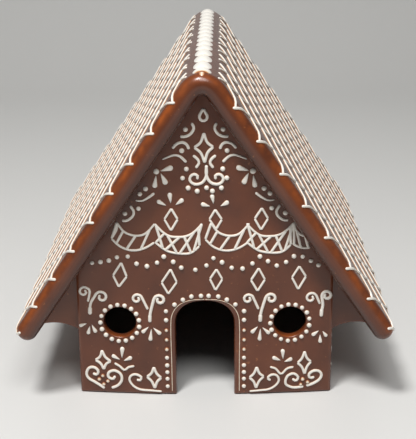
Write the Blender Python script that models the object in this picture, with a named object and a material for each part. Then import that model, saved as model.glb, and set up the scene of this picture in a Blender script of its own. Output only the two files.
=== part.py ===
"""A hollow glazed ceramic gingerbread house with a steep roof, an arched door and two round windows.

Metres, +Z up. The front gable faces -Y, the ridge runs along Y, and the origin is at the middle
of the footprint, on the surface that the house stands on.
"""

import math

import bmesh
import bpy

# Roof: a folded slab whose front, back and eave edges are fully rounded.
ROOF_DEPTH = 0.250          # front roll to back roll
ROLL_RADIUS = 0.006         # half of the slab's thickness
ROLL_BEVEL = 0.0055         # rounding of the front and back ends, a little under the full half
TIP_X = 0.1015              # centre of the rounded eave edge
TIP_Z = 0.046
ROOF_SLOPE = 1.4636         # rise over run
RIDGE_RADIUS = 0.0155       # outer rounding along the ridge

# Walls.
PLATE_Y = 0.112             # distance of each gable plate from the middle, at its centre line
WALL_X = 0.0742             # outer half width
PLATE_BOW = 0.004           # how far a plate's side edges sit behind its centre line
CORNER_RADIUS = 0.004
CHEEK_Y = 0.102             # distance of the plain cheeks under the eaves from the middle
SOFFIT_WALL_Z = 0.0368      # where the eave's underside meets the wall
SOFFIT_EAVE_Z = 0.0405      # where it meets the eave's rounded edge
SOFFIT_RISE = 0.0034        # height of the shallow arch between them
WALL = 0.005                # thickness of the ceramic
INNER_CORNER_RADIUS = 0.0015
STEP = 0.0006               # how much thicker the roof is close to the gables

# Openings.
DOOR_HALF_WIDTH = 0.017
DOOR_SPRING_Z = 0.045       # where the door's arch begins
DOOR_RISE = 0.015
DOOR_ROUNDNESS = 2.3        # exponent of the arch's superellipse
WINDOW_X = 0.0493
WINDOW_Z = 0.0464
WINDOW_RADIUS = 0.0094

# Piped border along the ridge.
SHELL_COUNT = 15
SHELL_HALF_WIDTH = 0.0060
SHELL_HALF_LENGTH = 0.0098
SHELL_HALF_HEIGHT = 0.0035
RIDGE_TOP = 0.196           # top of the border, the highest point of the house
SHELL_INSET = 0.012         # from the roof's front edge to the first shell's centre
SHELL_CUT = 0.95            # where the end shells are cut off, as a part of their half length

# How finely round shapes are divided.
TIP_STEPS = 10
RIDGE_STEPS = 10
ARCH_STEPS = 8
ROLL_SEGMENTS = 6
WINDOW_SIDES = 32
BOW_STEPS = 8
SHELL_STEPS = 4
SHELL_RESOLUTION = 3
CORNER_STEPS = 4
REACH = 0.02                # how far a cutter runs past what it cuts
WELD = 1e-6                 # points closer than this are one point
SMOOTH_ANGLE = math.radians(35)

# Glaze.
GLAZE_COLOR = (0.15, 0.045, 0.02)
GLAZE_ROUGHNESS = 0.3

SLOPE_ANGLE = math.atan(ROOF_SLOPE)
SLAB_RISE = ROLL_RADIUS / math.cos(SLOPE_ANGLE)      # vertical distance from centre line to face
CENTRE_APEX = TIP_Z + TIP_X * ROOF_SLOPE             # where the slab's centre lines meet
HALF_DEPTH = ROOF_DEPTH / 2


def clear_scene():
    for thing in list(bpy.data.objects):
        bpy.data.objects.remove(thing)


def collection(name):
    made = bpy.data.collections.new(name)
    bpy.context.scene.collection.children.link(made)
    return made


def glaze(name, color, roughness):
    material = bpy.data.materials.new(name)
    material.use_nodes = True
    shader = material.node_tree.nodes["Principled BSDF"]
    shader.inputs["Base Color"].default_value = (*color, 1.0)
    shader.inputs["Roughness"].default_value = roughness
    shader.inputs["Metallic"].default_value = 0.0
    return material


def arc(centre, radius, start, end, steps):
    """Points on a circle in the XZ plane, from one angle to another."""
    points = []
    for i in range(steps + 1):
        angle = start + (end - start) * i / steps
        points.append((centre[0] + radius * math.cos(angle), centre[1] + radius * math.sin(angle)))
    return points


def mirrored(right_half):
    """A closed outline from its right half, which runs from bottom to top."""
    left_half = [(-x, z) for x, z in reversed(right_half) if x > WELD]
    return right_half + left_half


def ridge_arc(radius):
    """The right half of the rounding along the ridge, with the same centre for every radius."""
    centre_z = CENTRE_APEX + SLAB_RISE - RIDGE_RADIUS / math.cos(SLOPE_ANGLE)
    return arc((0.0, centre_z), radius, math.pi / 2 - SLOPE_ANGLE, math.pi / 2, RIDGE_STEPS // 2)


def roof_height(x, inward):
    """Height of the plane that lies a given distance inward from the roof's outer face."""
    return CENTRE_APEX + SLAB_RISE - ROOF_SLOPE * x - inward / math.cos(SLOPE_ANGLE)


def slab_outline():
    outward = math.pi / 2 - SLOPE_ANGLE
    tip = arc((TIP_X, TIP_Z), ROLL_RADIUS, outward - math.pi, outward, TIP_STEPS)
    inner_apex = (0.0, roof_height(0.0, 2 * ROLL_RADIUS))
    right = [inner_apex] + tip + ridge_arc(RIDGE_RADIUS)
    left = [(-x, z) for x, z in reversed(right) if x > WELD]
    return right + left


def soffit(inward):
    """The shallow arch under the right eave, from the wall to the eave's edge."""
    start_x = WALL_X - inward
    end_x = TIP_X - ROLL_RADIUS / 2 - inward
    points = []
    for i in range(ARCH_STEPS + 1):
        t = i / ARCH_STEPS
        x = start_x + (end_x - start_x) * t
        chord_z = SOFFIT_WALL_Z + (SOFFIT_EAVE_Z - SOFFIT_WALL_Z) * t
        points.append((x, chord_z + inward + SOFFIT_RISE * math.sin(math.pi * t)))
    return points


def eave_outline():
    right = soffit(0.0) + [(TIP_X, TIP_Z), (0.0, CENTRE_APEX)]
    return mirrored(right)


def hollow_outline():
    arch = [p for p in soffit(WALL) if p[1] < roof_height(p[0], WALL)]
    right = arch + ridge_arc(RIDGE_RADIUS - WALL)
    return mirrored(right)


def gable_outline():
    wide = WALL_X + REACH / 2
    right = [(wide, 0.0), (wide, CENTRE_APEX - ROOF_SLOPE * wide), (0.0, CENTRE_APEX)]
    return mirrored(right)


def hollow_gable_outline():
    wide = WALL_X + REACH / 2
    depth = WALL + STEP
    right = [(wide, -REACH), (wide, roof_height(wide, depth))] + ridge_arc(RIDGE_RADIUS - depth)
    return mirrored(right)


def door_outline():
    right = [(DOOR_HALF_WIDTH, -REACH)]
    for i in range(ARCH_STEPS * 2 + 1):
        angle = math.pi / 2 * i / (ARCH_STEPS * 2)
        x = DOOR_HALF_WIDTH * math.cos(angle) ** (2 / DOOR_ROUNDNESS)
        z = DOOR_SPRING_Z + DOOR_RISE * math.sin(angle) ** (2 / DOOR_ROUNDNESS)
        right.append((x if x > WELD else 0.0, z))
    return mirrored(right)


def plan_outline(inward):
    """The walls seen from above: bowed gable plates, straight sides, rounded corners."""
    half_width = WALL_X - inward
    radius = max(CORNER_RADIUS - inward, INNER_CORNER_RADIUS)
    flat = half_width - radius
    quarter = []
    for i in range(BOW_STEPS + 1):
        x = flat * (i + 0.5) / (BOW_STEPS + 0.5)
        quarter.append((x, PLATE_Y - inward - PLATE_BOW * (x / WALL_X) ** 2))
    corner_y = quarter[-1][1] - radius
    quarter += arc((flat, corner_y), radius, math.pi / 2, 0.0, CORNER_STEPS)[1:]
    right = quarter + [(x, -y) for x, y in reversed(quarter)]
    return right + [(-x, y) for x, y in reversed(right)]


def shaded(mesh):
    """Smooth where it is round, sharp at real edges."""
    mesh.shade_smooth()
    mesh.set_sharp_from_angle(angle=SMOOTH_ANGLE)


def meshed(drawn, name, target):
    """A closed mesh object made from a curve object, which is removed."""
    bpy.context.view_layer.update()
    mesh = bpy.data.meshes.new_from_object(drawn.evaluated_get(bpy.context.evaluated_depsgraph_get()))
    mesh.name = name
    mesh.transform(drawn.matrix_world)
    bpy.data.objects.remove(drawn)
    cleaned = bmesh.new()
    cleaned.from_mesh(mesh)
    bmesh.ops.remove_doubles(cleaned, verts=cleaned.verts, dist=WELD)
    bmesh.ops.recalc_face_normals(cleaned, faces=cleaned.faces)
    cleaned.to_mesh(mesh)
    cleaned.free()
    shaded(mesh)
    solid = bpy.data.objects.new(name, mesh)
    target.objects.link(solid)
    return solid


def extruded(name, outline, half_length, upright, target):
    """A prism from a closed outline: along Y, or along Z when it is upright."""
    curve = bpy.data.curves.new(name, "CURVE")
    curve.dimensions = "2D"
    curve.fill_mode = "BOTH"
    curve.extrude = half_length
    spline = curve.splines.new("POLY")
    spline.points.add(len(outline) - 1)
    for point, (u, v) in zip(spline.points, outline):
        point.co = (u, v, 0.0, 1.0)
    spline.use_cyclic_u = True
    drawn = bpy.data.objects.new(name + "_outline", curve)
    bpy.context.scene.collection.objects.link(drawn)
    if not upright:
        drawn.rotation_euler = (math.pi / 2, 0.0, 0.0)
    return meshed(drawn, name, target)


def round_ends(solid, radius, segments):
    """Rounds the edges round both end faces of a prism that runs along Y."""
    mesh = bmesh.new()
    mesh.from_mesh(solid.data)
    bmesh.ops.dissolve_limit(mesh, angle_limit=0.001, verts=mesh.verts, edges=mesh.edges)
    ends = [e for e in mesh.edges if len(e.link_faces) == 2
            and abs(abs(e.link_faces[0].normal.y) - abs(e.link_faces[1].normal.y)) > 0.9]
    bmesh.ops.bevel(mesh, geom=ends, offset=radius, offset_type="OFFSET", segments=segments,
                    profile=0.5, affect="EDGES", clamp_overlap=True)
    bmesh.ops.remove_doubles(mesh, verts=mesh.verts, dist=WELD)
    mesh.to_mesh(solid.data)
    mesh.free()
    shaded(solid.data)


def combine(solid, other, operation):
    modifier = solid.modifiers.new(operation.lower() + "_" + other.name, "BOOLEAN")
    modifier.operation = operation
    modifier.solver = "EXACT"
    modifier.object = other


def as_cutter(thing):
    thing.hide_render = True
    thing.display_type = "WIRE"


def shell_radius(distance):
    """Relative thickness of the border at a distance from the middle of the nearest shell."""
    return math.sqrt(1.0 - (distance / SHELL_HALF_LENGTH) ** 2)


def ridge_border(target):
    """A row of overlapping shells: one tube along the ridge that swells once for each shell."""
    first = -HALF_DEPTH + SHELL_INSET
    pitch = 2 * (HALF_DEPTH - SHELL_INSET) / (SHELL_COUNT - 1)
    end = SHELL_HALF_LENGTH * SHELL_CUT
    stations = [(first - end, shell_radius(end))]
    for i in range(SHELL_COUNT):
        for j in range(-SHELL_STEPS + 1, SHELL_STEPS):
            offset = pitch / 2 * j / SHELL_STEPS
            stations.append((first + pitch * i + offset, shell_radius(offset)))
        stations.append((first + pitch * (i + 0.5), shell_radius(pitch / 2)))
    stations[-1] = (-stations[0][0], stations[0][1])
    curve = bpy.data.curves.new("border", "CURVE")
    curve.dimensions = "3D"
    curve.bevel_depth = SHELL_HALF_HEIGHT
    curve.bevel_resolution = SHELL_RESOLUTION
    curve.use_fill_caps = True
    spline = curve.splines.new("POLY")
    spline.points.add(len(stations) - 1)
    for point, (y, radius) in zip(spline.points, stations):
        point.co = (0.0, y, RIDGE_TOP - SHELL_HALF_HEIGHT, 1.0)
        point.radius = radius
    drawn = bpy.data.objects.new("border_line", curve)
    bpy.context.scene.collection.objects.link(drawn)
    drawn.scale = (SHELL_HALF_WIDTH / SHELL_HALF_HEIGHT, 1.0, 1.0)
    return meshed(drawn, "border", target)


def window_cutter(side, target):
    mesh = bmesh.new()
    bmesh.ops.create_cone(mesh, cap_ends=True, segments=WINDOW_SIDES, radius1=WINDOW_RADIUS,
                          radius2=WINDOW_RADIUS, depth=2 * REACH)
    data = bpy.data.meshes.new("window_left" if side < 0 else "window_right")
    mesh.to_mesh(data)
    mesh.free()
    shaded(data)
    cutter = bpy.data.objects.new(data.name, data)
    cutter.rotation_euler = (math.pi / 2, 0.0, 0.0)
    cutter.location = (side * WINDOW_X, -PLATE_Y, WINDOW_Z)
    target.objects.link(cutter)
    return cutter


def door_cutter(target):
    cutter = extruded("door", door_outline(), REACH, False, target)
    cutter.location.y = -PLATE_Y
    return cutter


def build():
    clear_scene()
    parts = collection("gingerbread_house")
    tools = collection("cutters")

    house = extruded("house", slab_outline(), HALF_DEPTH, False, parts)
    round_ends(house, ROLL_BEVEL, ROLL_SEGMENTS)

    walls = extruded("walls", plan_outline(0.0), RIDGE_TOP, True, tools)
    gable = extruded("gable", gable_outline(), HALF_DEPTH, False, tools)
    combine(walls, gable, "INTERSECT")
    eaves = extruded("eaves", eave_outline(), CHEEK_Y, False, tools)
    inside = extruded("inside", plan_outline(WALL), RIDGE_TOP, True, tools)
    inside_gable = extruded("inside_gable", hollow_gable_outline(), HALF_DEPTH, False, tools)
    combine(inside, inside_gable, "INTERSECT")
    inside_eaves = extruded("inside_eaves", hollow_outline(), CHEEK_Y - WALL, False, tools)

    combine(house, walls, "UNION")
    combine(house, eaves, "UNION")
    combine(house, inside, "DIFFERENCE")
    combine(house, inside_eaves, "DIFFERENCE")
    combine(house, door_cutter(tools), "DIFFERENCE")
    for side in (-1, 1):
        combine(house, window_cutter(side, tools), "DIFFERENCE")
    combine(house, ridge_border(tools), "UNION")
    for thing in tools.objects:
        as_cutter(thing)

    house.data.materials.append(glaze("brown_glaze", GLAZE_COLOR, GLAZE_ROUGHNESS))


build()
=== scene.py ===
# %% [markdown]
# A glazed ceramic gingerbread house, about 196 mm high, on a pale studio floor.
# The solid model of it is already made and is loaded as a fixed frame. This lesson builds what
# the eye sees on that frame: the cast body with its rounded roof, the white ornament that was
# trailed on by hand, the glazes, and the studio.

# %% Load the frame
import math
import random

import bmesh
import bpy
from mathutils import Matrix, Vector


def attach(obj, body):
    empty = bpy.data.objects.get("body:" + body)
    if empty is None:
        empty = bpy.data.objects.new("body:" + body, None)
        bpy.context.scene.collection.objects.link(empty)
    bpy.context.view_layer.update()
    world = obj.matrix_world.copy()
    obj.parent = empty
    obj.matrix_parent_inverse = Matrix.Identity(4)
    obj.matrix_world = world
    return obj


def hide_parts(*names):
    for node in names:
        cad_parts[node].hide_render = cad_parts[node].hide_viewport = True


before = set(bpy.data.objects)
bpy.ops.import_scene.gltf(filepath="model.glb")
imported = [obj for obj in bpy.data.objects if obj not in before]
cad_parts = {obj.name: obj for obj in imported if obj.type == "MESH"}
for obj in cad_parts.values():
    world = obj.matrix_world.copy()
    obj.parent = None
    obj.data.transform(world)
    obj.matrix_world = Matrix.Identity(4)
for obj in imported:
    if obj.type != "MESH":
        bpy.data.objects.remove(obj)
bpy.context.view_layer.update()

# %% [markdown]
# All sizes are in millimetres here and turned to metres where a mesh is made, because piping and
# bevels are easier to think about in millimetres. The numbers repeat those of the solid model.

# %% Sizes of the house
MM = 0.001
HALF_DEPTH = 125.0       # roof, front roll to middle
ROLL = 6.0               # half the roof's thickness, so its edges are full rounds
TIP_X, TIP_Z = 101.5, 46.0
SLOPE = math.atan(1.4636)
RIDGE_RADIUS = 15.5
PLATE_Y, PLATE_BOW = 112.0, 4.0
WALL_X, WALL = 74.2, 5.0
CHEEK_Y = 102.0
SOFFIT_WALL_Z, SOFFIT_EAVE_Z, SOFFIT_RISE = 36.8, 40.5, 3.4
DOOR_X, DOOR_SPRING, DOOR_RISE, DOOR_ROUNDNESS = 17.0, 45.0, 15.0, 2.3
WINDOW_X, WINDOW_Z, WINDOW_RADIUS = 49.3, 46.4, 9.4
LIP = 2.2                # rounding of the walls' outer edges and of the door
WINDOW_LIP = 0.9

OUTER_APEX = TIP_Z + TIP_X * math.tan(SLOPE) + ROLL / math.cos(SLOPE)
RIDGE_CENTRE_Z = OUTER_APEX - RIDGE_RADIUS / math.cos(SLOPE)
RIDGE_TOP = RIDGE_CENTRE_Z + RIDGE_RADIUS
print("brown ridge top", round(RIDGE_TOP, 1), "mm")

# %% [markdown]
# Colours are written the way a paint program shows them (sRGB hex). Blender's sockets want linear
# light, so one function converts them. Another small function adds a node with its settings and
# links, which keeps each material readable as a list of nodes.

# %% Colour and node helpers
def linear(hex_color):
    """An sRGB hex colour as linear RGBA."""
    channels = [int(hex_color[i:i + 2], 16) / 255 for i in (1, 3, 5)]
    return [c / 12.92 if c <= 0.04045 else ((c + 0.055) / 1.055) ** 2.4 for c in channels] + [1.0]


def add_node(tree, kind, settings=None, **links):
    """Adds a node. settings fill its attributes or sockets, and "stops" a colour ramp's (position, hex
    colour) pairs; links join output sockets to its inputs."""
    node = tree.nodes.new(kind)
    for key, value in (settings or {}).items():
        if key == "stops":
            elements = node.color_ramp.elements
            while len(elements) < len(value):
                elements.new(0.5)
            for element, (position, color) in zip(elements, value):
                element.position = position
                element.color = linear(color)
        elif isinstance(key, str) and hasattr(node, key):
            setattr(node, key, value)
        else:
            node.inputs[key].default_value = value
    for key, source in links.items():
        target = node.inputs[int(key[1:])] if key[0] == "_" else node.inputs[key.replace("_", " ")]
        tree.links.new(source, target)
    return node


def new_material(name):
    material = bpy.data.materials.new(name)
    material.use_nodes = True
    return material, material.node_tree, material.node_tree.nodes["Principled BSDF"]


# %% [markdown]
# The body is slip-cast earthenware under an iron-brown glaze. Molten glaze runs off rounded edges
# and leaves a thin, orange-brown film there; here that orange is laid on most where an edge faces up,
# so it is partly a painted highlight. The roof's underside is darkened as painted shade. The glaze is
# never quite even, so the tone wanders over a few centimetres, tiny pale specks show, and the surface
# has the faint waviness of orange peel. The attribute read here is 1 where the glaze ran thin, with the
# painted highlight, and -1 where painted shade is laid.

# %% Iron-brown glaze
def brown_glaze():
    material, tree, shader = new_material("iron_brown_glaze")
    place = add_node(tree, "ShaderNodeTexCoord").outputs["Object"]
    cloud = add_node(tree, "ShaderNodeTexNoise", {"Scale": 1 / 0.030, "Detail": 3.0}, Vector=place)
    tone = add_node(tree, "ShaderNodeValToRGB",
                    {"stops": ((0.3, "#552c1a"), (0.55, "#65351f"), (0.75, "#723f26"))},
                    Fac=cloud.outputs["Fac"])
    streak = add_node(tree, "ShaderNodeTexNoise", {"Scale": 1 / 0.009, "Detail": 3.0}, Vector=place)
    film = add_node(tree, "ShaderNodeAttribute", {"attribute_name": "film"}).outputs["Fac"]
    # Painted shade: where the attribute is below zero, on the roof's underside, the tone is darkened
    # towards #3a1a10.
    painted_shade_under_roof = add_node(tree, "ShaderNodeMath", {"operation": "MULTIPLY", 1: -0.8, "use_clamp": True},
                      _0=film)
    tone_with_painted_shade = add_node(tree, "ShaderNodeMix", {"data_type": "RGBA", 7: linear("#3a1a10")},
                    Factor=painted_shade_under_roof.outputs[0], _6=tone.outputs["Color"])
    broken = add_node(tree, "ShaderNodeMath",
                      {"operation": "MULTIPLY_ADD", 1: 2.4, 2: -0.75, "use_clamp": True},
                      _0=streak.outputs["Fac"])
    # Thin glaze film, strongest on an edge's upper side, lightened towards #9c4f20: partly a real glaze
    # break, partly a painted highlight.
    thin = add_node(tree, "ShaderNodeMath", {"operation": "MULTIPLY", "use_clamp": True},
                    _0=film, _1=broken.outputs[0])
    film_with_painted_highlight = add_node(tree, "ShaderNodeMix", {"data_type": "RGBA", 7: linear("#9c4f20")},
                      Factor=thin.outputs[0], _6=tone_with_painted_shade.outputs[2])
    fine = add_node(tree, "ShaderNodeTexNoise", {"Scale": 1 / 0.0022, "Detail": 1.0}, Vector=place)
    speck = add_node(tree, "ShaderNodeMath",
                     {"operation": "MULTIPLY_ADD", 1: 5.0, 2: -3.6, "use_clamp": True},
                     _0=fine.outputs["Fac"])
    color = add_node(tree, "ShaderNodeMix", {"data_type": "RGBA", 7: linear("#a8673c")},
                     Factor=speck.outputs[0], _6=film_with_painted_highlight.outputs[2])
    tree.links.new(color.outputs[2], shader.inputs["Base Color"])
    peel = add_node(tree, "ShaderNodeTexNoise", {"Scale": 1 / 0.006, "Detail": 2.0}, Vector=place)
    bump = add_node(tree, "ShaderNodeBump", {"Strength": 0.25, "Distance": 0.0004},
                    Height=peel.outputs["Fac"])
    tree.links.new(bump.outputs["Normal"], shader.inputs["Normal"])
    shader.inputs["Roughness"].default_value = 0.27
    shader.inputs["IOR"].default_value = 1.52
    return material


BROWN = brown_glaze()
print("material", BROWN.name)

# %% [markdown]
# The ornament is white tin glaze trailed from a bulb, so each line is a low bead. On its crest it is
# opaque and a little grey; at its foot and where a line was thin the brown shows through as tan.
# The "relief" attribute is 1 on a bead's crest and 0 at its foot, and "thin" is 1 for a worn bead.

# %% Trailed white glaze
def white_glaze():
    material, tree, shader = new_material("trailed_white_glaze")
    place = add_node(tree, "ShaderNodeTexCoord").outputs["Object"]
    grain = add_node(tree, "ShaderNodeTexNoise", {"Scale": 1 / 0.0015, "Detail": 2.0}, Vector=place)
    relief = add_node(tree, "ShaderNodeAttribute", {"attribute_name": "relief"}).outputs["Fac"]
    thin = add_node(tree, "ShaderNodeAttribute", {"attribute_name": "thin"}).outputs["Fac"]
    cover = add_node(tree, "ShaderNodeMath", {"operation": "MULTIPLY_ADD", 1: 0.3},
                     _0=grain.outputs["Fac"], _2=relief)
    left = add_node(tree, "ShaderNodeMath", {"operation": "MULTIPLY_ADD", 1: -0.6},
                    _0=thin, _2=cover.outputs[0])
    color = add_node(tree, "ShaderNodeValToRGB",
                     {"stops": ((0.12, "#7a3d1e"), (0.32, "#b87a48"), (0.50, "#dfd0b8"),
                                (0.72, "#eee9e0"))},
                     Fac=left.outputs[0])
    tree.links.new(color.outputs["Color"], shader.inputs["Base Color"])
    bump = add_node(tree, "ShaderNodeBump", {"Strength": 0.2, "Distance": 0.0003},
                    Height=grain.outputs["Fac"])
    tree.links.new(bump.outputs["Normal"], shader.inputs["Normal"])
    shader.inputs["Roughness"].default_value = 0.32
    shader.inputs["IOR"].default_value = 1.52
    return material


WHITE = white_glaze()
print("material", WHITE.name)

# %% [markdown]
# Every piece ends the same way: the mesh is shaded smooth except at real edges, gets its glaze, and
# is told to ride with the house. A brown part first gets a per-vertex attribute from a rule: how far
# the glaze ran thin there, which edges also get a painted highlight, and where painted shade is laid.

# %% Finishing a piece
def lay_film_and_painted_light(bm, rule):
    # This attribute carries thin glaze together with a painted highlight, and painted shade below zero.
    layer = bm.verts.layers.float.new("film")
    bm.normal_update()
    for vert in bm.verts:
        vert[layer] = min(max(rule(vert), -1.0), 1.0)
    return bm


def finish_piece(name, bm, material, sharp_angle=40.0):
    mesh = bpy.data.meshes.new(name)
    bm.to_mesh(mesh)
    bm.free()
    mesh.shade_smooth()
    mesh.set_sharp_from_angle(angle=math.radians(sharp_angle))
    mesh.materials.append(material)
    made = bpy.data.objects.new(name, mesh)
    bpy.context.scene.collection.objects.link(made)
    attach(made, "root")
    triangles = sum(len(p.vertices) - 2 for p in mesh.polygons)
    print(name, "-", triangles, "triangles")
    return made


def verts_of(geometry):
    """The vertices among what an operator returned."""
    return [v for v in geometry if isinstance(v, bmesh.types.BMVert)]


def add_to(target, bm):
    """Moves a mesh into another one."""
    carrier = bpy.data.meshes.new("carrier")
    bm.to_mesh(carrier)
    bm.free()
    target.from_mesh(carrier)
    bpy.data.meshes.remove(carrier)


def scaled(bm):
    """Turns a mesh that was drawn in millimetres into metres."""
    bmesh.ops.scale(bm, vec=(MM, MM, MM), verts=bm.verts)


# %% [markdown]
# The roof is one folded slab with fully rounded edges, like two rolled-out sheets leaning together.
# It could be a profile swept along the ridge, but then the front ends would be flat. Here a folded
# sheet gets its ridge bevelled, then a thickness, and then a bevel of half that thickness all round.

# %% Roof slab
def roof_slab():
    bm = bmesh.new()
    reach = TIP_X + ROLL * math.sin(SLOPE) + ROLL * math.cos(SLOPE)
    drop = OUTER_APEX - reach * math.tan(SLOPE)
    profile = ((-reach, drop), (0, OUTER_APEX), (reach, drop))
    corners = [bm.verts.new((x, -HALF_DEPTH, z)) for x, z in profile]
    sheet = [bm.edges.new(corners[0:2]), bm.edges.new(corners[1:3])]
    swept = bmesh.ops.extrude_edge_only(bm, edges=sheet)["geom"]
    bmesh.ops.translate(bm, vec=(0, 2 * HALF_DEPTH, 0), verts=verts_of(swept))
    ridge = [e for e in bm.edges if all(abs(v.co.x) < 1e-6 for v in e.verts)]
    bmesh.ops.bevel(bm, geom=ridge, offset=RIDGE_RADIUS * math.tan(SLOPE), segments=14, profile=0.5,
                    affect="EDGES", material=-1)
    bmesh.ops.recalc_face_normals(bm, faces=bm.faces)
    if sum(f.normal.z for f in bm.faces) < 0:
        bmesh.ops.reverse_faces(bm, faces=bm.faces)
    bmesh.ops.solidify(bm, geom=bm.faces, thickness=2 * ROLL)
    bmesh.ops.remove_doubles(bm, verts=bm.verts, dist=0.01)
    bmesh.ops.recalc_face_normals(bm, faces=bm.faces)
    rim = [e for e in bm.edges if len(e.link_faces) == 2 and e.calc_face_angle() > math.radians(60)]
    nearly_half = ROLL * 0.995
    bmesh.ops.bevel(bm, geom=rim, offset=nearly_half, segments=10, profile=0.5, affect="EDGES",
                    material=-1)
    bmesh.ops.remove_doubles(bm, verts=bm.verts, dist=0.01)
    return bm


def roof_film_and_painted_light(vert):
    """Thin glaze, with a painted highlight, where a rounded edge turns from the roof's face to its front;
    painted shade underneath.
    """
    lean = math.asin(min(abs(vert.co.x) / RIDGE_RADIUS, math.sin(SLOPE)))
    face = Vector((math.copysign(math.sin(lean), vert.co.x), 0, math.cos(lean)))
    turn = math.degrees(vert.normal.angle(face, 0.0))
    # Painted shade on the underside of the roof's rounded edges.
    if turn > 95:
        return (95 - turn) / 45
    # Thin glaze on the edge's upper turn, peaking where it faces up and out, so it is also a painted
    # highlight.
    return 1 - abs(turn - 48) / 36


roof = lay_film_and_painted_light(roof_slab(), roof_film_and_painted_light)
print("roof", [round(f(v.co.x for v in roof.verts), 1) for f in (min, max)],
      [round(f(v.co.y for v in roof.verts), 1) for f in (min, max)],
      [round(f(v.co.z for v in roof.verts), 1) for f in (min, max)])

# %% [markdown]
# The gable walls are thin cast plates that bow out a little in the middle, with softened edges and a
# rounded lip round each opening. A flat outline with its openings is filled, given the wall's
# thickness, bevelled along its outer rim, cut into strips, and only then bowed.

# %% Gable walls
def arch(bm, half_width, spring, rise, steps=18):
    """Vertices up and over an arch, from its left foot to its right foot."""
    verts = [bm.verts.new((-half_width, 0, 0))]
    for i in range(steps + 1):
        angle = math.pi * (1 - i / steps)
        c, s = math.cos(angle), math.sin(angle)
        x = math.copysign(abs(c) ** (2 / DOOR_ROUNDNESS), c) * half_width
        verts.append(bm.verts.new((x, 0, spring + rise * abs(s) ** (2 / DOOR_ROUNDNESS))))
    verts.append(bm.verts.new((half_width, 0, 0)))
    return verts


def bow(x):
    """How far the gable's surface lies behind its middle."""
    return PLATE_BOW * (x / WALL_X) ** 2


def near_window(point):
    return math.hypot(abs(point.x) - WINDOW_X, point.z - WINDOW_Z) < WINDOW_RADIUS + 3


def wall_film_and_painted_highlight(vert):
    """Thin glaze with a painted highlight where a window's lip faces up, thin glaze a little on the outer
    edges, even elsewhere.
    """
    if vert.normal.y < -0.97 or vert.co.y > LIP + 0.1:
        return 0.0
    if near_window(vert.co):
        # Thin glaze on the window's lip, laid on where it faces up: partly a painted highlight.
        return 1.2 * max(vert.normal.z, 0.0)
    return 0.3 if abs(vert.co.x) > WALL_X - LIP - 1 else 0.0


def gable_wall(open_front):
    bm = bmesh.new()
    under_roof = OUTER_APEX - ROLL / math.cos(SLOPE)
    shoulder = under_roof - WALL_X * math.tan(SLOPE)
    outline = [bm.verts.new((-WALL_X, 0, 0))]
    if open_front:
        outline += arch(bm, DOOR_X, DOOR_SPRING, DOOR_RISE)
    outline += [bm.verts.new(p) for p in ((WALL_X, 0, 0), (WALL_X, 0, shoulder), (0, 0, under_roof),
                                          (-WALL_X, 0, shoulder))]
    for a, b in zip(outline, outline[1:] + outline[:1]):
        bm.edges.new((a, b))
    if open_front:
        for side in (-1, 1):
            upright = Matrix.Rotation(math.pi / 2, 4, "X")
            bmesh.ops.create_circle(bm, segments=40, radius=WINDOW_RADIUS,
                                    matrix=Matrix.Translation((side * WINDOW_X, 0, WINDOW_Z)) @ upright)
    bmesh.ops.triangle_fill(bm, edges=bm.edges, use_beauty=True)
    bmesh.ops.dissolve_limit(bm, angle_limit=0.01, verts=bm.verts, edges=bm.edges, delimit={"NORMAL"})
    back = bmesh.ops.extrude_face_region(bm, geom=bm.faces[:])["geom"]
    bmesh.ops.translate(bm, vec=(0, WALL, 0), verts=verts_of(back))
    bmesh.ops.recalc_face_normals(bm, faces=bm.faces)
    sharp = [e for e in bm.edges if all(v.co.y < 0.01 for v in e.verts)
             and len(e.link_faces) == 2 and e.calc_face_angle() > 1.0]
    round_windows = [e for e in sharp if near_window(e.verts[0].co)]
    rim = [e for e in sharp if not near_window(e.verts[0].co)]
    for edges, rounding in ((rim, LIP), (round_windows, WINDOW_LIP)):
        if edges:
            bmesh.ops.bevel(bm, geom=edges, offset=rounding, segments=5, profile=0.5, affect="EDGES",
                            material=-1, loop_slide=False)
    for x in range(-68, 72, 4):
        bmesh.ops.bisect_plane(bm, geom=bm.verts[:] + bm.edges[:] + bm.faces[:], dist=0.0001,
                               plane_co=(x + 0.5, 0, 0), plane_no=(1, 0, 0))
    lay_film_and_painted_light(bm, wall_film_and_painted_highlight)
    for vert in bm.verts:
        vert.co.y += bow(vert.co.x) - PLATE_Y
    return bm


front = gable_wall(True)
back = gable_wall(False)
bmesh.ops.rotate(back, verts=back.verts, matrix=Matrix.Rotation(math.pi, 3, "Z"))
print("front wall", len(front.faces), "faces; back wall", len(back.faces))

# %% [markdown]
# The side walls are plain upright plates. Under each eave the gap between wall and roof is closed by
# a wedge with a shallow arched underside. The arch is one vertex spun about a centre below it, and the
# wedge is that outline pushed along the house.

# %% Side walls and eaves
SIDE_FACE = WALL_X - 0.1     # the side walls' outer face, just inside the gables' ends
FOOT_ROUNDING, WEDGE_ROUNDING = 0.8, 1.2


def side_wall(side):
    bm = bmesh.new()
    bmesh.ops.create_cube(bm, size=1.0)
    height = 92.0            # its top is hidden in the roof's thickness
    bmesh.ops.scale(bm, vec=(WALL, 2 * (PLATE_Y - WALL), height), verts=bm.verts)
    bmesh.ops.translate(bm, vec=(side * (SIDE_FACE - WALL / 2), 0, height / 2), verts=bm.verts)
    foot = [e for e in bm.edges if all(v.co.z < 1 for v in e.verts)]
    bmesh.ops.bevel(bm, geom=foot, offset=FOOT_ROUNDING, segments=3, profile=0.5, affect="EDGES",
                    material=-1)
    return bm


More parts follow.
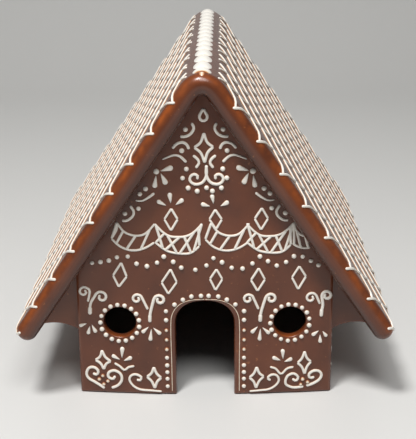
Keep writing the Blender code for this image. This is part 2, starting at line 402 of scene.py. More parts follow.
def eave_wedge(side):
    bm = bmesh.new()
    start = Vector((WALL_X - 1, -CHEEK_Y, SOFFIT_WALL_Z))
    end = Vector((TIP_X - 2.5, -CHEEK_Y, SOFFIT_EAVE_Z))
    half = (end - start).length / 2
    radius = (half ** 2 + SOFFIT_RISE ** 2) / (2 * SOFFIT_RISE)
    chord = (end - start).normalized()
    centre = (start + end) / 2 + Vector((0, 1, 0)).cross(chord) * (radius - SOFFIT_RISE)
    first = bm.verts.new(start)
    swing = 2 * math.asin(half / radius)
    bmesh.ops.spin(bm, geom=[first], cent=centre, axis=(0, 1, 0), dvec=(0, 0, 0), angle=swing, steps=12,
                   use_merge=False, use_duplicate=False)
    arch_verts = sorted(bm.verts, key=lambda v: v.co.x)
    top = [bm.verts.new((TIP_X, -CHEEK_Y, TIP_Z)),
           bm.verts.new((start.x, -CHEEK_Y, TIP_Z + (TIP_X - start.x) * math.tan(SLOPE)))]
    outline = bm.faces.new(arch_verts + top)
    pushed = bmesh.ops.extrude_face_region(bm, geom=[outline])["geom"]
    bmesh.ops.translate(bm, vec=(0, 2 * CHEEK_Y, 0), verts=verts_of(pushed))
    bmesh.ops.recalc_face_normals(bm, faces=bm.faces)
    lower = [e for e in bm.edges if len(e.link_faces) == 2 and e.calc_face_angle() > 1.0
             and abs(e.verts[0].co.y - e.verts[1].co.y) < 0.1 and all(v.co.z < TIP_Z for v in e.verts)]
    bmesh.ops.bevel(bm, geom=lower, offset=WEDGE_ROUNDING, segments=4, profile=0.5, affect="EDGES",
                    material=-1)
    if side < 0:
        bmesh.ops.scale(bm, vec=(-1, 1, 1), verts=bm.verts)
        bmesh.ops.reverse_faces(bm, faces=bm.faces)
    return bm


# %% [markdown]
# The cast parts are gathered in one mesh, because the real body is one piece of clay.

# %% The cast body
def gather(parts):
    whole = bmesh.new()
    whole.verts.layers.float.new("film")
    for part in parts:
        add_to(whole, part)
    return whole


plain = [lay_film_and_painted_light(make(side), lambda vert: 0.0) for make in (side_wall, eave_wedge) for side in (-1, 1)]
body = gather([roof, front, back] + plain)
scaled(body)
house = finish_piece("cast_house", body, BROWN)
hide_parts("house")

# %% [markdown]
# Every line of ornament is a trailed bead. A ring of eight points is pushed along the path by
# extruding its edges and moving the new ring to the next station, so the bead follows any curve. The
# ring is wider than it is high, and it shrinks to a point at both ends in a quarter round.

# %% Trailed beads
RING_SIDES = 8


def smooth_path(points, step=1.2):
    """A curve through the points (Catmull-Rom), as closely spaced points."""
    points = [Vector(p) for p in points]
    padded = [2 * points[0] - points[1]] + points + [2 * points[-1] - points[-2]]
    made = []
    for i in range(1, len(padded) - 2):
        a, b, c, d = padded[i - 1:i + 3]
        count = max(1, round((c - b).length / step))
        for j in range(count):
            t = j / count
            made.append(0.5 * (2 * b + (c - a) * t + (2 * a - 5 * b + 4 * c - d) * t * t
                               + (3 * b - a - 3 * c + d) * t ** 3))
    return made + [points[-1]]


def along(path):
    """Distance of each point of a path from its start."""
    run = [0.0]
    for a, b in zip(path, path[1:]):
        run.append(run[-1] + (b - a).length)
    return run


def at(path, run, distance):
    """The point at a distance along a path."""
    for i in range(1, len(path)):
        if run[i] >= distance or i == len(path) - 1:
            part = (distance - run[i - 1]) / max(run[i] - run[i - 1], 1e-6)
            return path[i - 1].lerp(path[i], min(max(part, 0.0), 1.0))


def bead(target, path, width, height, surface, thin=0.0, start=1.0, finish=1.0, spacing=1.2):
    """A bead along a path. surface(point) gives where a path point lies and which way is out.
    start and finish say how wide the two ends are, as parts of the width."""
    run = along(path)
    length = run[-1]
    end = min(width / 2, length / 2.2)
    inner = max(1, round((length - 2 * end) / spacing))
    marks = [end * f for f in (0.02, 0.12, 0.35, 0.7)]
    marks += [end + (length - 2 * end) * i / inner for i in range(inner + 1)]
    marks += [length - end * f for f in (0.7, 0.35, 0.12, 0.02)]
    bm = bmesh.new()
    relief = bm.verts.layers.float.new("relief")
    worn = bm.verts.layers.float.new("thin")
    ring = bmesh.ops.create_circle(bm, cap_ends=True, segments=RING_SIDES, radius=1.0)["verts"]
    for vert in ring:
        vert[relief] = max(vert.co.y, 0.0)
        vert[worn] = thin
    before = Matrix.Identity(4)
    for number, mark in enumerate(marks):
        point, out = surface(at(path, run, mark))
        ahead = surface(at(path, run, min(mark + 0.4, length)))[0]
        behind = surface(at(path, run, max(mark - 0.4, 0.0)))[0]
        forward = (ahead - behind).normalized()
        across = forward.cross(out).normalized()
        up = across.cross(forward)
        edge = min(mark, length - mark, end) / end
        round_end = math.sqrt(max(1 - (1 - edge) ** 2, 0.0))
        share = start + (finish - start) * mark / length
        half = max(width / 2 * share * round_end, 0.02)
        tall = max(height * (0.4 + 0.6 * share) * round_end, 0.02)
        station = Matrix([[across.x * half, up.x * tall, forward.x, point.x],
                          [across.y * half, up.y * tall, forward.y, point.y],
                          [across.z * half, up.z * tall, forward.z, point.z],
                          [0, 0, 0, 1]])
        if number:
            loop = [e for e in bm.edges if ring_set.issuperset(e.verts)]
            grown = bmesh.ops.extrude_edge_only(bm, edges=loop)["geom"]
            ring = verts_of(grown)
        ring_set = set(ring)
        bmesh.ops.transform(bm, matrix=station @ before.inverted(), verts=ring)
        before = station
    bmesh.ops.contextual_create(bm, geom=[e for e in bm.edges if ring_set.issuperset(e.verts)])
    bmesh.ops.recalc_face_normals(bm, faces=bm.faces)
    add_to(target, bm)


def dot(target, point, diameter, height, surface, thin=0.0):
    """A round blob of glaze."""
    bm = bmesh.new()
    relief = bm.verts.layers.float.new("relief")
    worn = bm.verts.layers.float.new("thin")
    bmesh.ops.create_icosphere(bm, subdivisions=2, radius=1.0)
    for vert in bm.verts:
        vert[relief] = max(vert.co.z, 0.0)
        vert[worn] = thin
    centre, out = surface(Vector(point))
    turn = out.to_track_quat("Z", "Y").to_matrix().to_4x4()
    size = Matrix.Diagonal((diameter / 2, diameter / 2, height, 1))
    bmesh.ops.transform(bm, matrix=Matrix.Translation(centre) @ turn @ size, verts=bm.verts)
    add_to(target, bm)


# %% [markdown]
# The ornament on the gable is drawn flat, with x across and z up, and laid on the bowed wall. Its
# vocabulary is small: dots, teardrops, arcs, curls, straight-sided and pinched diamonds, and lattice
# swags. Hand piping is never exact, so each stroke is a touch wider or narrower than the last.

# %% Words of the ornament
hand = random.Random(11)
STROKE, STROKE_HEIGHT = 1.8, 0.9
FINE = 1.45
DOT, DOT_HEIGHT = 3.0, 1.3


def on_gable(point):
    return Vector((point.x, bow(point.x) - PLATE_Y, point.z)), Vector((0, -1, 0))


def flat(points):
    return [Vector((x, 0, z)) for x, z in points]


class Pen:
    """Draws ornament on one surface, with an optional mirror line."""

    def __init__(self, surface):
        self.surface = surface
        self.mesh = bmesh.new()
        self.mesh.verts.layers.float.new("relief")
        self.mesh.verts.layers.float.new("thin")
        self.mirror = None

    def place(self, points):
        if self.mirror is None:
            return flat(points)
        return flat([(2 * self.mirror - x, z) for x, z in points])

    def line(self, points, width=STROKE, start=1.0, thin=0.0, smooth=True):
        placed = self.place(points)
        path = smooth_path(placed) if smooth else placed
        width *= hand.uniform(0.94, 1.06)
        bead(self.mesh, path, width, STROKE_HEIGHT * width / STROKE, self.surface, thin, start)

    def dots(self, points, size=DOT, thin=0.0):
        for point in self.place(points):
            diameter = size * hand.uniform(0.93, 1.07)
            dot(self.mesh, point, diameter, DOT_HEIGHT * diameter / DOT, self.surface, thin)

    def drop(self, tip, bulb, width):
        """A teardrop: a bead that starts as a point and ends full, past the bulb's centre."""
        (x, z), (u, w) = tip, bulb
        reach = 1 + 0.45 * width / max(math.hypot(u - x, w - z), 1.0)
        placed = self.place([tip, (x + (u - x) * reach, z + (w - z) * reach)])
        width *= hand.uniform(0.95, 1.05)
        bead(self.mesh, placed, width, DOT_HEIGHT, self.surface, start=0.12, spacing=0.8)

    def diamond(self, top, right, bottom, left, pinch=0.0, width=FINE):
        """Four strokes; pinch draws their middles in towards the centre."""
        corners = [top, right, bottom, left]
        centre = [sum(c[i] for c in corners) / 4 for i in (0, 1)]
        for a, b in zip(corners, corners[1:] + corners[:1]):
            middle = [((a[i] + b[i]) / 2) * (1 - pinch) + centre[i] * pinch for i in (0, 1)]
            self.line([a, middle, b], width)

    def curl(self, stem, centre, outer, inner, start, sweep, width):
        """A stem that runs into a spiral about a centre; angles in degrees."""
        steps = max(6, round(abs(sweep) / 30))
        spiral = []
        for i in range(steps + 1):
            angle = math.radians(start + sweep * i / steps)
            radius = outer + (inner - outer) * i / steps
            spiral.append((centre[0] + radius * math.cos(angle), centre[1] + radius * math.sin(angle)))
        self.line(list(stem) + spiral, width)


print("stroke", STROKE, "mm, dot", DOT, "mm")

# %% [markdown]
# The top of the gable is filled from the point downwards: a hollow teardrop, a pinched diamond, a
# forked scroll, and on both sides crescents and arcs that follow the roof.

# %% Gable point
def gable_point(pen):
    pen.line([(0.4, 173.2), (-1.8, 169.0), (-0.9, 166.8), (0.4, 166.3), (1.7, 166.8), (2.6, 169.0),
              (0.4, 173.2)])
    pen.diamond((0.6, 159.7), (5.7, 151.8), (0.9, 142.9), (-4.8, 151.6), 0.3, 1.7)
    for mirror in (None, 0.8):
        pen.mirror = mirror
        pen.line([(-6.0, 165.3), (-4.8, 162.5), (-6.5, 159.3), (-9.3, 157.8), (-12.4, 157.8)])
        pen.dots([(-9.4, 161.7)])
        pen.line([(-16.7, 151.0), (-14.3, 153.6), (-11.0, 154.5), (-8.6, 153.1), (-7.7, 150.5)])
        pen.dots([(-11.6, 149.8)])
        pen.line([(-22.5, 144.8), (-19.1, 146.2), (-15.7, 147.3), (-12.4, 146.4), (-9.1, 143.2)], start=0.5)
        pen.line([(-5.5, 147.1), (-3.2, 145.3), (-2.2, 142.9), (-4.1, 139.9)])
        pen.dots([(-9.2, 139.4), (-11.4, 134.2), (-8.4, 128.5), (-3.4, 126.7)])
        pen.dots([(-25.8, 138.0)], 3.8)
        pen.drop((-23.6, 138.2), (-18.4, 139.8), 4.2)
        pen.drop((-23.4, 136.9), (-21.2, 132.2), 4.2)
        pen.drop((-26.0, 135.6), (-26.8, 130.2), 4.0)
        pen.dots([(-32.0, 127.9), (-35.3, 124.9), (-36.3, 116.3)])
        pen.line([(-38.0, 121.1), (-34.2, 120.9), (-30.3, 123.0), (-27.2, 125.5)], start=0.5)
        pen.line([(-41.0, 118.0), (-39.1, 114.9), (-39.7, 111.8), (-42.9, 109.2), (-45.9, 109.0)])
        pen.dots([(-44.0, 113.3)])
    for mirror in (None, 1.8):
        pen.mirror = mirror
        pen.line([(1.6, 141.5), (2.0, 137.5), (1.2, 134.0), (-0.9, 131.3), (-4.6, 130.6), (-7.2, 132.4),
                  (-7.3, 134.8), (-5.4, 136.4), (-3.1, 135.6), (-3.4, 133.4)])
    pen.mirror = None
    pen.dots([(1.8, 128.6)])


# %% [markdown]
# Below it come three diamonds with teardrop fans, a garland of lattice swags, a hanging row of dots
# and a row of diamonds. A swag is two hanging lines, tied together by slanting bars.

# %% Garland
def swag(pen, upper, lower, bars):
    """A lattice swag. Each bar joins the upper line to the lower, at shares of their lengths."""
    lines = [smooth_path(flat(points)) for points in (upper, lower)]
    runs = [along(line) for line in lines]
    for points in (upper, lower):
        pen.line(points, FINE)
    for shares in bars:
        ends = [at(line, run, run[-1] * share) for line, run, share in zip(lines, runs, shares)]
        pen.line([(end.x, end.z) for end in ends], 1.7, smooth=False)


FALLING = ((0.0, 0.0), (0.22, 0.14), (0.5, 0.38), (0.84, 0.68))
CROSSED = ((0.03, 0.2), (0.24, 0.02), (0.3, 0.5), (0.52, 0.26), (0.6, 0.78), (0.8, 0.55), (0.9, 1.0),
           (1.0, 0.84))


def shifted(points, across):
    return [(x + across, z) for x, z in points]


def garland(pen):
    for across in (0.0, 50.5):
        pen.diamond(*shifted([(-18.0, 116.4), (-14.5, 110.1), (-18.4, 103.5), (-22.0, 110.1)], across))
        pen.drop((-18.2, 119.6), (-18.6, 124.0), 3.8)
        pen.drop((-20.8, 118.2), (-24.4, 120.2), 3.6)
        pen.drop((-15.6, 118.6), (-12.4, 121.0), 3.6)
    pen.diamond((6.5, 115.8), (10.2, 110.0), (6.9, 104.2), (3.2, 110.1))
    for tip, bulb in (((3.6, 117.8), (0.2, 118.8)), ((5.6, 119.2), (5.0, 123.0)),
                      ((9.4, 117.8), (12.6, 119.6))):
        pen.drop(tip, bulb, 3.8)
    first = [(-48.8, 107.9), (-46.1, 103.7), (-43.6, 101.6), (-39.6, 100.3), (-35.6, 100.4), (-32.5, 101.8),
             (-29.4, 105.0), (-27.5, 107.4)]
    first_low = [(-52.2, 98.2), (-47.9, 93.9), (-42.9, 91.7), (-37.9, 91.5), (-32.7, 93.2), (-28.0, 96.2)]
    second = [(-27.5, 107.4), (-25.3, 104.8), (-22.9, 102.4), (-19.4, 100.1), (-14.5, 99.6), (-9.9, 100.1),
              (-5.9, 102.2), (-2.6, 105.4), (-1.0, 107.5)]
    second_low = [(-27.6, 96.5), (-23.2, 92.8), (-19.1, 90.6), (-12.1, 89.6), (-7.0, 90.3), (-2.5, 94.2)]
    for across in (0.0, 53.0):
        swag(pen, shifted(first, across), shifted(first_low, across), FALLING)
    for across in (0.0, 51.5):
        swag(pen, shifted(second, across), shifted(second_low, across), CROSSED)
    swag(pen, [(50.5, 107.0), (51.6, 103.0), (54.5, 100.0), (57.5, 99.2)],
         [(50.0, 95.0), (53.0, 93.0), (57.0, 92.0), (60.0, 92.2)], ((0.0, 0.1), (0.45, 0.5), (0.95, 0.9)))
    pen.line([(-48.8, 108.2), (-49.1, 103.6), (-52.0, 98.6)], FINE)
    pen.dots([(-64.0, 83.2), (-59.1, 83.9), (-54.2, 84.9), (-49.5, 87.0), (-43.3, 87.6), (-38.4, 83.3),
              (-32.5, 81.9), (-26.7, 84.1), (-22.8, 87.8), (-17.5, 84.7), (-13.0, 81.2), (-5.0, 79.9),
              (1.3, 82.5), (5.3, 86.9), (10.2, 84.4), (15.6, 81.0), (21.8, 80.4), (27.4, 83.4),
              (31.6, 87.6), (36.2, 84.6), (41.2, 81.8), (46.5, 83.8), (50.9, 87.2), (55.9, 86.8),
              (60.6, 84.1), (65.0, 81.3)], 2.9)
    pen.diamond((-47.2, 83.7), (-44.3, 75.2), (-49.1, 68.8), (-52.2, 75.8))
    pen.diamond((-19.1, 80.1), (-15.7, 72.2), (-20.7, 64.9), (-24.4, 71.9))
    pen.diamond((7.0, 80.1), (10.3, 74.0), (6.4, 67.2), (3.2, 74.2))
    pen.diamond((31.0, 80.4), (34.6, 73.4), (30.4, 66.4), (26.6, 73.2))
    pen.diamond((54.1, 81.0), (58.0, 74.6), (53.7, 66.8), (50.0, 74.2))


# %% [markdown]
# On each side of the door two curled plumes stand beside the window, all turned the same way, each with
# a small fan of teardrops below it. A plume is a small spiral on the left and a stem that curls over to
# the right.

# %% Plumes and windows
def plume(pen, stem, left, left_size, right, right_size):
    x, z = stem
    pen.curl([(x - 0.9, z + 8.0)], left, left_size, 0.9, 5, 430, 1.7)
    pen.curl([stem, (x + 0.2, z + 4.0), (x + 0.8, z + 7.5)], right, right_size, 1.1, 168, -410, 1.9)
    pen.line([stem, (x + 0.2, z + 5.0)], 2.5)


def plumes(pen):
    plume(pen, (-66.6, 50.9), (-69.6, 65.1), 3.5, (-59.4, 62.2), 3.8)
    plume(pen, (-31.8, 47.0), (-38.9, 61.6), 3.2, (-25.8, 61.1), 3.3)
    plume(pen, (32.0, 47.0), (25.0, 61.6), 3.2, (38.2, 61.6), 3.2)
    plume(pen, (67.4, 49.1), (61.2, 61.2), 3.5, (70.4, 62.2), 3.1)
    drops = ((-68.9, 45.0), (-72.0, 43.9), (-67.1, 43.4), (-68.0, 39.6), (-65.9, 44.4), (-64.1, 40.8),
             (-32.6, 44.0), (-35.6, 41.2), (-31.0, 42.6), (-31.7, 36.6), (-29.9, 43.4), (-26.6, 40.4),
             (30.6, 44.0), (27.8, 41.2), (32.2, 42.6), (31.8, 36.6), (33.4, 43.4), (36.6, 40.4),
             (66.2, 40.2), (63.4, 38.2), (67.1, 37.6), (67.2, 33.8), (68.5, 39.8), (70.2, 37.4))
    for tip, bulb in zip(drops[::2], drops[1::2]):
        pen.drop(tip, bulb, 3.3)


def window_ring(pen, across):
    for i in range(17):
        angle = 2 * math.pi * (i + 0.5) / 17
        pen.dots([(across + 11.4 * math.cos(angle), 46.1 + 11.5 * math.sin(angle))], 2.9)


# %% [markdown]
# The panels at the foot of the wall hold spirals, pinched diamonds and a flower of three teardrops. A
# border of dots goes round the door, with a thin worn line between it and the edge.

# %% Foot panels and door border
def left_panel(pen):
    pen.diamond((-60.6, 28.2), (-55.5, 21.2), (-59.9, 15.8), (-64.7, 21.8), 0.3, 1.7)
    for tip, bulb in (((-48.9, 23.6), (-48.5, 29.2)), ((-50.2, 22.6), (-53.4, 24.5)),
                      ((-47.9, 21.9), (-44.4, 23.6))):
        pen.drop(tip, bulb, 3.6)
    pen.line([(-53.4, 20.2), (-50.4, 18.4), (-47.7, 15.9), (-45.0, 17.9), (-41.7, 18.6)], 1.6, thin=0.3)
    pen.line([(-59.8, 3.4), (-62.6, 5.4), (-65.7, 7.4), (-69.4, 9.8), (-70.4, 13.0), (-68.8, 16.4),
              (-65.6, 17.0), (-63.2, 14.6), (-64.4, 12.2), (-66.6, 13.0)])
    pen.line([(-55.8, 3.8), (-51.9, 5.6), (-49.4, 9.4), (-50.2, 13.4), (-54.0, 15.4), (-57.3, 13.6),
              (-57.2, 10.6), (-54.6, 9.8), (-53.4, 11.8)])
    pen.dots([(-60.7, 11.8), (-62.9, 9.4), (-57.8, 8.3), (-60.3, 6.2)], 2.7, 0.75)
    pen.line([(-25.8, 2.3), (-32.0, 2.8), (-38.9, 3.4), (-43.0, 5.9), (-44.9, 9.6), (-43.8, 12.4),
              (-41.0, 13.2), (-37.9, 11.6), (-38.6, 9.4), (-40.6, 9.8)], 1.8, 0.7)
    pen.diamond((-30.2, 18.1), (-25.9, 11.3), (-29.9, 4.3), (-34.5, 11.8), 0.25, 1.7)


def right_panel(pen):
    pen.diamond((58.2, 27.3), (62.2, 20.4), (58.5, 12.6), (54.2, 20.0), 0.25, 1.7)
    for tip, bulb in (((45.6, 22.8), (45.4, 27.6)), ((46.4, 21.0), (49.6, 22.4)),
                      ((44.2, 22.0), (40.8, 23.6))):
        pen.drop(tip, bulb, 3.6)
    pen.line([(38.0, 18.0), (41.4, 16.8), (44.6, 13.2), (48.1, 16.7), (51.9, 17.5)], 1.6, thin=0.3)
    pen.line([(58.0, 4.4), (54.6, 4.0), (51.0, 4.2), (47.4, 6.6), (48.2, 11.4), (52.0, 13.2), (54.8, 10.6),
              (53.4, 8.2), (51.4, 9.8)])
    pen.line([(59.6, 4.8), (63.4, 6.0), (67.2, 8.4), (68.6, 11.6), (66.8, 14.2), (63.6, 14.4), (61.0, 12.2),
              (61.8, 9.8), (64.4, 10.4)])
    pen.dots([(57.4, 9.4), (60.4, 7.2), (56.3, 5.9)], 2.7, 0.75)
    pen.line([(26.0, 2.3), (32.4, 2.8), (37.6, 3.4), (41.6, 5.9), (43.4, 9.2), (42.0, 12.4), (38.8, 12.8),
              (36.6, 10.6), (38.6, 9.2)], 1.8, 0.7)
    pen.diamond((30.2, 18.1), (34.5, 11.8), (29.9, 4.3), (25.9, 11.3), 0.25, 1.7)


def door_border(pen):
    heights = (54.1, 48.5, 42.1, 36.0, 29.9, 24.4, 19.5, 15.0, 10.7, 5.8)
    for z in heights:
        pen.dots([(-22.3, z)], 2.8, 0.7 if z in heights[2:5] else 0.0)
    pen.dots([(-17.3, 58.3), (-12.4, 61.4), (-7.5, 63.4), (-2.0, 63.8)], 2.9)
    pen.line([(-19.6, 2.5), (-19.6, 20.0), (-19.7, 44.0), (-18.6, 52.5), (-14.5, 58.2), (-8.0, 61.0),
              (0.0, 61.6)], 0.6, thin=0.8)


def draw_front(pen):
    gable_point(pen)
    garland(pen)
    plumes(pen)
    window_ring(pen, -WINDOW_X)
    window_ring(pen, WINDOW_X)
    left_panel(pen)
    right_panel(pen)
    for mirror in (None, 0.2):
        pen.mirror = mirror
        door_border(pen)
    pen.mirror = None


front_pen = Pen(on_gable)
draw_front(front_pen)
scaled(front_pen.mesh)
finish_piece("front_ornament", front_pen.mesh, WHITE)

# %% [markdown]
# The back gable carries the same ornament, without the openings: a pinched diamond fills each ring of
# dots, and the whole drawing is turned half round.

# %% Back gable ornament
back_pen = Pen(on_gable)
draw_front(back_pen)
for across in (-WINDOW_X, WINDOW_X):
    ring_diamond = shifted([(0.0, 53.0), (5.0, 46.2), (0.0, 39.4), (-5.0, 46.2)], across)
    back_pen.diamond(*ring_diamond, 0.3, 1.7)
bmesh.ops.rotate(back_pen.mesh, verts=back_pen.mesh.verts, matrix=Matrix.Rotation(math.pi, 3, "Z"))
scaled(back_pen.mesh)
finish_piece("back_ornament", back_pen.mesh, WHITE)

# %% [markdown]
# The side walls show only below the eaves, 37 mm high. Each gets a row of dots and, under it, the
# spirals and pinched diamonds of the foot panels, repeated four times.

# %% Side wall ornament
def on_side(side):
    def surface(point):
        return Vector((side * SIDE_FACE, side * point.x, point.z)), Vector((side, 0, 0))
    return surface


def draw_side(pen):
    for i in range(37):
        pen.dots([(-99.0 + 5.5 * i, 32.0 + 0.6 * math.cos(1.3 * i))], 2.8)
    for across in (-75.0, -25.0, 25.0, 75.0):
        pen.diamond(*shifted([(0.0, 27.0), (4.6, 20.0), (0.0, 13.0), (-4.6, 20.0)], across), 0.28, 1.7)
        pen.dots([(across, 8.0), (across - 3.0, 5.4), (across + 3.0, 5.4)], 2.7)
        for sign in (-1, 1):
            spiral = ((4.6, 4.0), (9.0, 5.2), (12.6, 8.6), (13.0, 13.6), (9.6, 16.2), (6.6, 13.8),
                      (7.6, 11.0), (10.0, 11.6))
            pen.line([(across + sign * x, z) for x, z in spiral])
            pen.drop((across + sign * 19.0, 18.6), (across + sign * 16.6, 22.0), 3.4)
    for across in (-100.0, -50.0, 0.0, 50.0, 100.0):
        pen.drop((across, 19.6), (across, 25.0), 3.6)
        pen.dots([(across, 14.6)], 2.7)


for side, name in ((-1, "side_ornament_left"), (1, "side_ornament_right")):
    side_pen = Pen(on_side(side))
    draw_side(side_pen)
    scaled(side_pen.mesh)
    finish_piece(name, side_pen.mesh, WHITE)

# %% [markdown]
# The roof is criss-crossed with piping from ridge to eave. Distances are measured over the surface:
# round the ridge, down the slope, and round the rolled edges at the eave, front and back, so that a
# straight stroke on this unrolled sheet wraps the form as the real one does.

# %% Roof surface, unrolled
RIDGE_RUN = RIDGE_RADIUS * SLOPE
SLOPE_RUN = (TIP_X + ROLL * math.sin(SLOPE) - RIDGE_RADIUS * math.sin(SLOPE)) / math.cos(SLOPE)
FLAT_DEPTH = HALF_DEPTH - ROLL


def on_roof(side):
    def surface(point):
        """point.z is the distance from the ridge over the surface, and point.y the unrolled depth."""
        run = point.z
        if run < RIDGE_RUN:
            angle = run / RIDGE_RADIUS
            x, z = RIDGE_RADIUS * math.sin(angle), RIDGE_CENTRE_Z + RIDGE_RADIUS * math.cos(angle)
        elif run < RIDGE_RUN + SLOPE_RUN:
            angle = SLOPE
            down = run - RIDGE_RUN
            x = RIDGE_RADIUS * math.sin(SLOPE) + down * math.cos(SLOPE)
            z = RIDGE_CENTRE_Z + RIDGE_RADIUS * math.cos(SLOPE) - down * math.sin(SLOPE)
        else:
            angle = SLOPE + (run - RIDGE_RUN - SLOPE_RUN) / ROLL
            x, z = TIP_X + ROLL * math.sin(angle), TIP_Z + ROLL * math.cos(angle)
        out = Vector((side * math.sin(angle), 0, math.cos(angle)))
        turn = max(abs(point.y) - FLAT_DEPTH, 0.0) / ROLL
        outward = math.copysign(1.0, point.y)
        depth = outward * (min(abs(point.y), FLAT_DEPTH) + ROLL * math.sin(turn))
        place = Vector((side * x, depth, z)) - out * ROLL * (1 - math.cos(turn))
        return place, out * math.cos(turn) + Vector((0, outward * math.sin(turn), 0))
    return surface


# %% [markdown]
# One family of strokes starts on the front roll and runs back and down the slope. The other comes from
# the back and ends on the first one's strokes, a little behind their loose ends, so that a zigzag of
# short tips shows along the front.

# %% Roof lattice
REACH = FLAT_DEPTH + ROLL * math.radians(60)
CELLS_DEEP = 9
CLEAR_OF_RIDGE = 9.2         # the strokes stop this far from the ridge, give or take 0.8
PIPE, PIPE_HEIGHT = 1.7, 0.9


def clipped(a, b, low, high):
    """The part of a straight stroke whose distance from the ridge lies between two limits."""
    if min(a.z, b.z) >= high or max(a.z, b.z) <= low:
        return None
    kept = []
    for point in (a, b):
        limit = min(max(point.z, low), high)
        kept.append(point if limit == point.z else a.lerp(b, (limit - a.z) / (b.z - a.z)))
    return kept


def roof_lattice(side, first, cell):
    """first is where the first tip lies below the ridge, and cell the distance between tips."""
    bm = bmesh.new()
    bm.verts.layers.float.new("relief")
    bm.verts.layers.float.new("thin")
    surface = on_roof(side)
    high = RIDGE_RUN + SLOPE_RUN + ROLL * 0.9
    fall = cell * CELLS_DEEP / (2 * REACH)
    drawn = 0
    for i in range(-CELLS_DEEP - 1, 20):
        low = CLEAR_OF_RIDGE + hand.uniform(-0.8, 0.8)
        tip = first + cell * i
        tail = 0.8 + 2.4 * min(max(tip / 165.0, 0.0), 1.0)
        backward = [Vector((0, -REACH, tip)), Vector((0, REACH - tail, tip + fall * (2 * REACH - tail)))]
        forward = [Vector((0, REACH, tip - fall * 2 * REACH)), Vector((0, tail - REACH, tip - fall * tail))]
        forward = [point + Vector((0, 0, 2 * fall * tail)) for point in forward]
        for stroke in (clipped(*backward, low, high), clipped(*forward, low, high)):
            if stroke and (stroke[0] - stroke[1]).length > 4:
                bead(bm, stroke, PIPE * hand.uniform(0.93, 1.07), PIPE_HEIGHT, surface, spacing=2.4)
                drawn += 1
    print("strokes on one slope:", drawn)
    return bm


for side, name, first, cell in ((-1, "roof_lattice_left", 1.7, 20.2),
                                (1, "roof_lattice_right", 3.3, 22.1)):
    lattice = roof_lattice(side, first, cell)
    scaled(lattice)
    finish_piece(name, lattice, WHITE)

# %% [markdown]
# Along the ridge runs a shell border: glaze was squeezed out in one thick blob after another, each
# pushed against the last, so it is a row of short barrels with deep grooves between them. A barrel
# is a ball whose middle is widened. The first one thins out to a tan tongue on the front roll.

# %% Ridge border
SHELL_EDGES = [-120.0, -108.7, -89.5, -70.3, -51.1] + [-35.5 + 15.6 * i for i in range(11)]
SHELL_HALF_WIDTH, SHELL_HEIGHT, SHELL_SEAT_Z = 5.9, 3.6, 192.1
SHELL_OVERLAP = 1.06


def ridge_shells():
    bm = bmesh.new()
    bm.verts.layers.float.new("relief")
    bm.verts.layers.float.new("thin")
    for number, (front_end, back_end) in enumerate(zip(SHELL_EDGES, SHELL_EDGES[1:])):
        shell = bmesh.new()
        relief = shell.verts.layers.float.new("relief")
        worn = shell.verts.layers.float.new("thin")
        bmesh.ops.create_uvsphere(shell, u_segments=24, v_segments=18, radius=1.0)
        bmesh.ops.rotate(shell, verts=shell.verts, matrix=Matrix.Rotation(math.pi / 2, 3, "X"))
        half = (back_end - front_end) / 2 * SHELL_OVERLAP
        for vert in shell.verts:
            along_ridge = vert.co.y
            girth = math.sqrt(max(1 - along_ridge ** 2, 0.0))
            barrel = 0.0
            if abs(along_ridge) < 0.999:
                barrel = (1 - abs(along_ridge) ** 3) ** 0.4 / max(girth, 0.05)
            across = vert.co.x * barrel * SHELL_HALF_WIDTH
            vert[relief] = (girth * barrel - 0.45) * 1.6
            vert[worn] = max(-along_ridge, 0.0) * 0.9 if number == 0 else 0.0
            fall = 0.5 * across ** 2 / RIDGE_RADIUS
            vert.co = Vector((across, along_ridge * half + (front_end + back_end) / 2,
                              vert.co.z * barrel * SHELL_HEIGHT + SHELL_SEAT_Z - fall))
        add_to(bm, shell)
    for y, wide, thin in ((-119.5, 8.0, 0.75), (-123.0, 5.0, 0.95)):
        bead(bm, [Vector((0, y + 6.0, 0.0)), Vector((0, y, 0.0))], wide, 1.6, on_roof(1), thin, 1.0, 0.6)
    print("shells", len(SHELL_EDGES) - 1)
    return bm


shells = ridge_shells()
scaled(shells)
finish_piece("ridge_border", shells, WHITE)

# %% [markdown]
# The studio: a pale, slightly glossy floor that curves up into a backdrop, a round soft light high
# in front and a little to the left, a weaker and broader one beside it, and a dim surround. The view
# transform is Standard, because the default one greys strong colours such as this glaze.

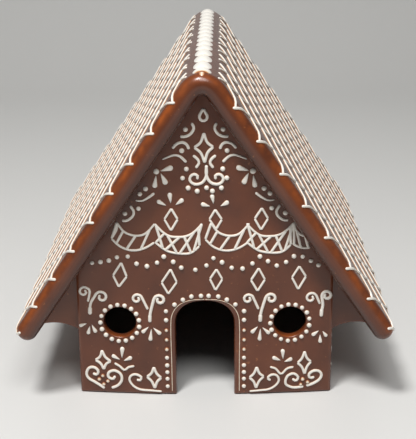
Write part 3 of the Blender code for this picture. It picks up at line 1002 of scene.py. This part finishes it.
# %% Studio
def studio_floor():
    bm = bmesh.new()
    corners = [bm.verts.new(p) for p in ((-3, -2, 0), (3, -2, 0))]
    sheet = [bm.edges.new(corners)]
    for step in ((0, 3.2, 0), (0, 0, 3.0)):
        grown = bmesh.ops.extrude_edge_only(bm, edges=sheet)["geom"]
        bmesh.ops.translate(bm, vec=step, verts=verts_of(grown))
        sheet = [e for e in grown if isinstance(e, bmesh.types.BMEdge) and len(e.link_faces) == 1
                 and abs(e.verts[0].co.x - e.verts[1].co.x) > 1]
    fold = [e for e in bm.edges if len(e.link_faces) == 2]
    bmesh.ops.bevel(bm, geom=fold, offset=0.5, segments=16, profile=0.5, affect="EDGES", material=-1)
    mesh = bpy.data.meshes.new("studio_floor")
    bm.to_mesh(mesh)
    bm.free()
    mesh.shade_smooth()
    material, tree, shader = new_material("pale_floor")
    shader.inputs["Base Color"].default_value = linear("#dcdbd8")
    shader.inputs["Roughness"].default_value = 0.35
    mesh.materials.append(material)
    floor = bpy.data.objects.new("studio_floor", mesh)
    bpy.context.scene.collection.objects.link(floor)


def soft_light(name, place, target, size, power):
    light = bpy.data.lights.new(name, "AREA")
    light.shape = "DISK"
    light.size = size
    light.energy = power
    lamp = bpy.data.objects.new(name, light)
    lamp.location = place
    lamp.rotation_mode = "QUATERNION"
    lamp.rotation_quaternion = (Vector(target) - Vector(place)).to_track_quat("-Z", "Y")
    bpy.context.scene.collection.objects.link(lamp)


studio_floor()
soft_light("key_light", (-0.28, -0.58, 1.35), (0, 0, 0.08), 0.3, 16)
soft_light("front_light", (0.1, -0.75, 1.1), (0, 0, 0.08), 0.5, 6.0)
world = bpy.data.worlds.new("studio_world")
world.use_nodes = True
world.node_tree.nodes["Background"].inputs["Color"].default_value = linear("#c9cbcc")
world.node_tree.nodes["Background"].inputs["Strength"].default_value = 0.2
bpy.context.scene.world = world
bpy.context.scene.view_settings.view_transform = "Standard"

# %% [markdown]
# The camera stands 0.67 m in front of the middle of the house and looks down on it at 19 degrees,
# through a long lens. It is turned aside and rolled by less than a degree.

# %% Camera
YAW, PITCH, ROLL_ANGLE = -0.0151, 0.3319, -0.0092
CAMERA_PLACE = Vector((0.01078, -0.66529, 0.30067))
looking = Vector((math.sin(YAW) * math.cos(PITCH), math.cos(YAW) * math.cos(PITCH), -math.sin(PITCH)))
level_right = Vector((math.cos(YAW), -math.sin(YAW), 0))
level_up = level_right.cross(looking)
right = level_right * math.cos(ROLL_ANGLE) + level_up * math.sin(ROLL_ANGLE)
up = level_up * math.cos(ROLL_ANGLE) - level_right * math.sin(ROLL_ANGLE)
camera_data = bpy.data.cameras.new("camera")
camera_data.lens = 85.95
camera_data.clip_start, camera_data.clip_end = 0.05, 20.0
camera = bpy.data.objects.new("camera", camera_data)
turn = Matrix((right, up, -looking)).transposed().to_4x4()
camera.matrix_world = Matrix.Translation(CAMERA_PLACE) @ turn
bpy.context.scene.collection.objects.link(camera)
bpy.context.scene.camera = camera
print("camera at", [round(v, 3) for v in camera.location])
